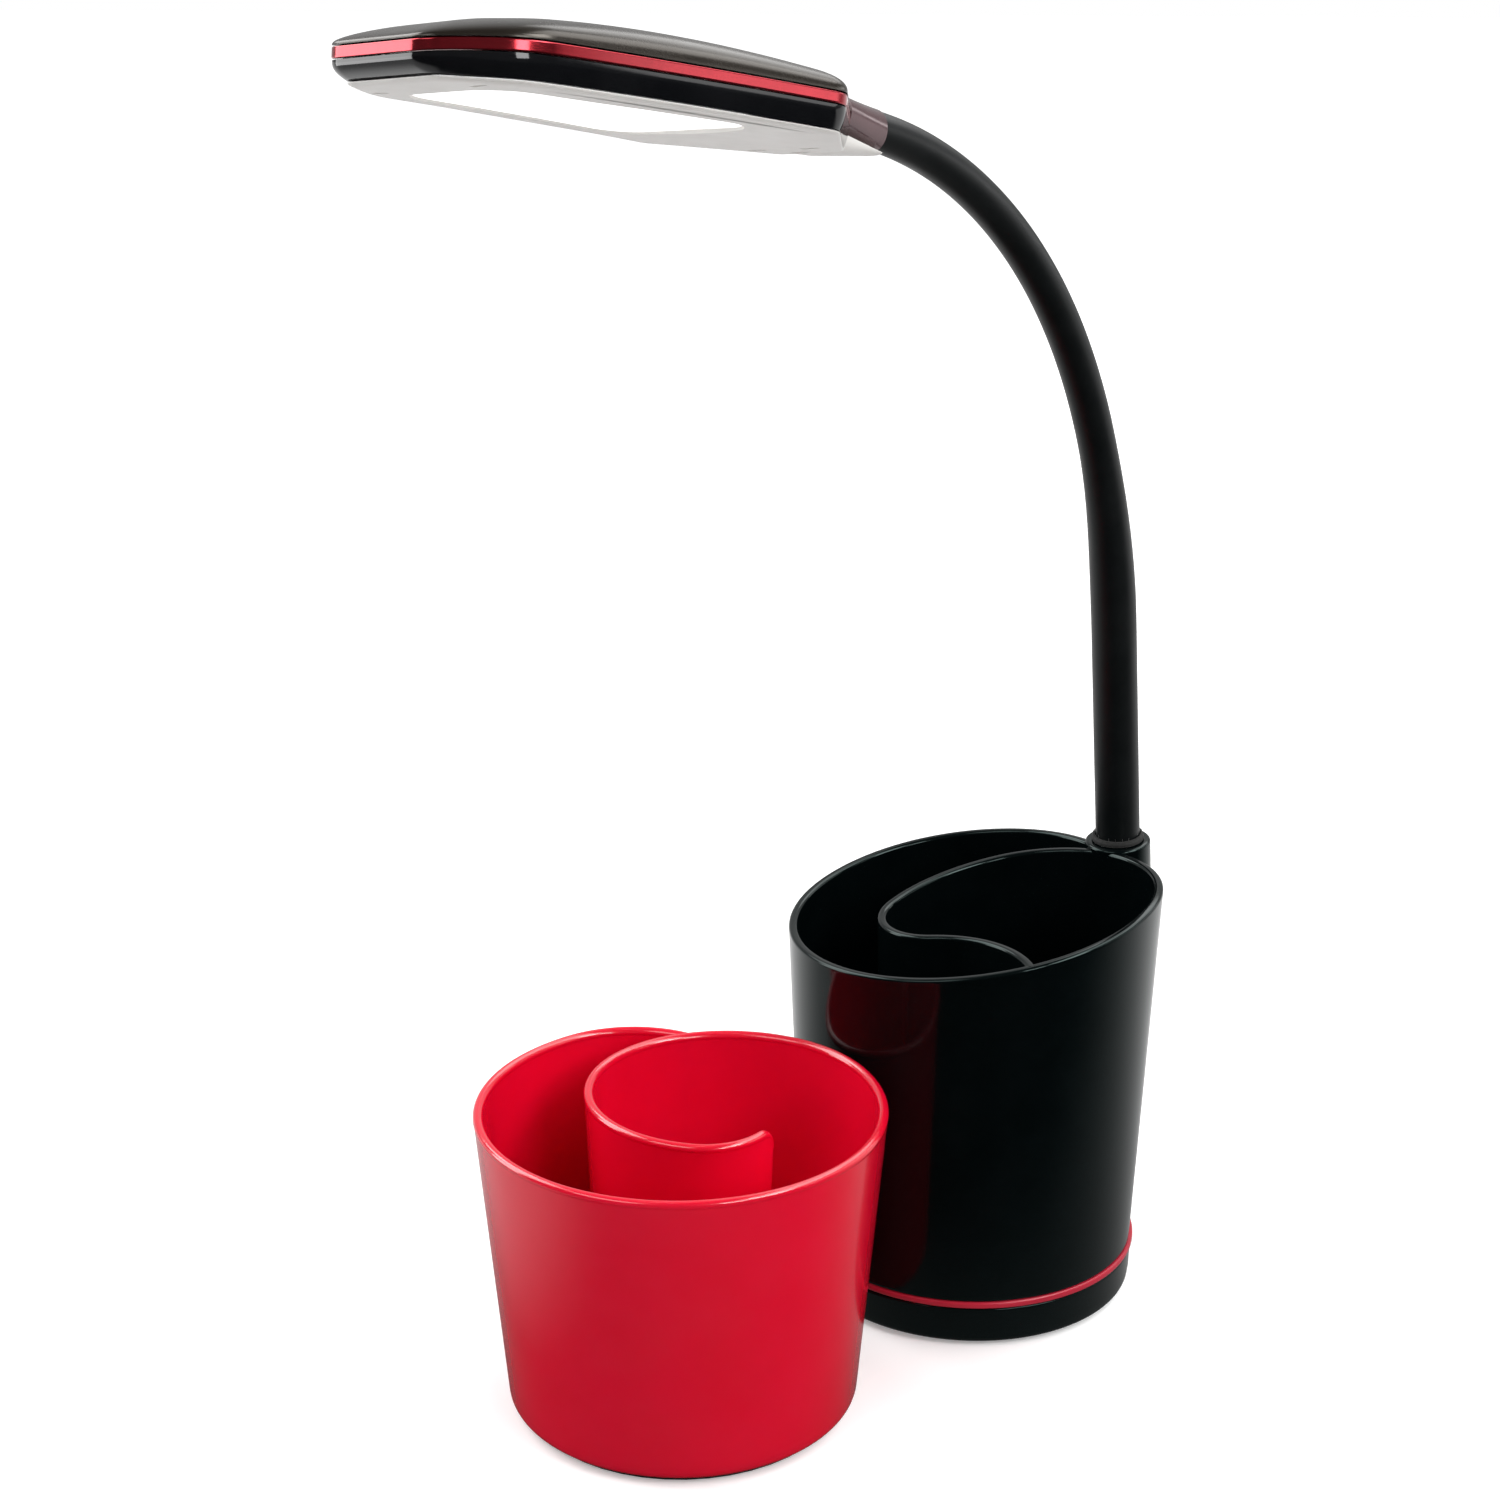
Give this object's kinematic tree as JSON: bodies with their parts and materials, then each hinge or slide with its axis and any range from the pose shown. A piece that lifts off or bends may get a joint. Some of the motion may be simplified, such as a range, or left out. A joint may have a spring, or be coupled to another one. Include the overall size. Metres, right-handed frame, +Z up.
{
  "type": "desk lamp",
  "caption": "Desk lamp with a pen-pot base whose wall spirals into a divider, a bendable neck, a flat light head with a stripe, and a matching loose organiser cup.",
  "frame": {"origin": "centre of the underside of the non-slip pad, on the desk", "axes": "+Z up; the neck stands at the back right (+X, +Y) and the head and the cup are at the front left (-X, -Y); the pictured side faces -Y"},
  "size_m": [0.1978, 0.2139, 0.3721],
  "materials": {
    "gloss_black": "glossy, near black with a faint cool tint",
    "matte_black": "fine satin black",
    "soft_rubber": "matt black silicone rubber",
    "gloss_red": "glossy saturated red",
    "pale_grey": "satin pale grey",
    "diffuser_white": "smooth translucent white",
    "guide_clear": "clear polished acrylic",
    "reflector_white": "white film",
    "plain_steel": "plain zinc-plated steel",
    "heat_aluminium": "mill finish",
    "board_green": "green solder mask",
    "board_white": "white solder mask"
  },
  "bodies": {
    "base": {"base_pot": "gloss_black", "trim_ring": "gloss_red", "base_housing": "gloss_black", "ballast_weight": "plain_steel", "bottom_cover": "matte_black", "non_slip_pad": "soft_rubber", "cover_screw_1": "plain_steel", "cover_screw_2": "plain_steel", "cover_screw_3": "plain_steel", "cover_screw_4": "plain_steel", "power_inlet": "plain_steel", "control_board": "board_green", "neck_ferrule": "plain_steel", "neck_collar": "soft_rubber", "neck_stem": "soft_rubber"},
    "neck_1": {"neck_link_1": "soft_rubber"},
    "neck_2": {"neck_link_2": "soft_rubber"},
    "neck_3": {"neck_link_3": "soft_rubber"},
    "neck_4": {"neck_link_4": "soft_rubber"},
    "neck_5": {"neck_link_5": "soft_rubber"},
    "head": {"neck_link_6": "soft_rubber", "head_sleeve": "gloss_black", "head_top_shell": "gloss_black", "head_stripe": "gloss_red", "head_side_shell": "gloss_black", "head_tray": "pale_grey", "diffuser": "diffuser_white", "light_guide": "guide_clear", "reflector": "reflector_white", "heat_plate": "heat_aluminium", "led_strip_1": "board_white", "led_strip_2": "board_white"},
    "cup": {"organiser_cup": "gloss_red", "cup_foot": "soft_rubber"}
  },
  "joints": [
    {"name": "neck_bend_1", "type": "hinge", "parent": "base", "child": "neck_1", "pos_m": [0.03465, 0.02289, 0.22247], "axis": [0.7193, -0.6947, 0], "range_deg": [-18, 18]},
    {"name": "neck_sway_1", "type": "hinge", "parent": "neck_1", "child": "neck_2", "pos_m": [0.03011, 0.01819, 0.24813], "axis": [0.6603, 0.6837, 0.3108], "range_deg": [-18, 18]},
    {"name": "neck_bend_2", "type": "hinge", "parent": "neck_2", "child": "neck_3", "pos_m": [0.02324, 0.01107, 0.27215], "axis": [0.7193, -0.6947, 0], "range_deg": [-18, 18]},
    {"name": "neck_sway_2", "type": "hinge", "parent": "neck_3", "child": "neck_4", "pos_m": [0.01352, 0.00101, 0.29461], "axis": [0.5538, 0.5735, 0.6037], "range_deg": [-18, 18]},
    {"name": "neck_bend_3", "type": "hinge", "parent": "neck_4", "child": "neck_5", "pos_m": [0.00105, -0.0119, 0.31404], "axis": [0.7193, -0.6947, 0], "range_deg": [-18, 18]},
    {"name": "neck_sway_3", "type": "hinge", "parent": "neck_5", "child": "head", "pos_m": [-0.01364, -0.02711, 0.3291], "axis": [0.3398, 0.3519, 0.8722], "range_deg": [-18, 18]},
    {"name": "cup_slide", "type": "slide", "parent": "base", "child": "cup", "axis": [-0.7057, -0.7085, 0], "range_m": [0, 0.12]}
  ]
}
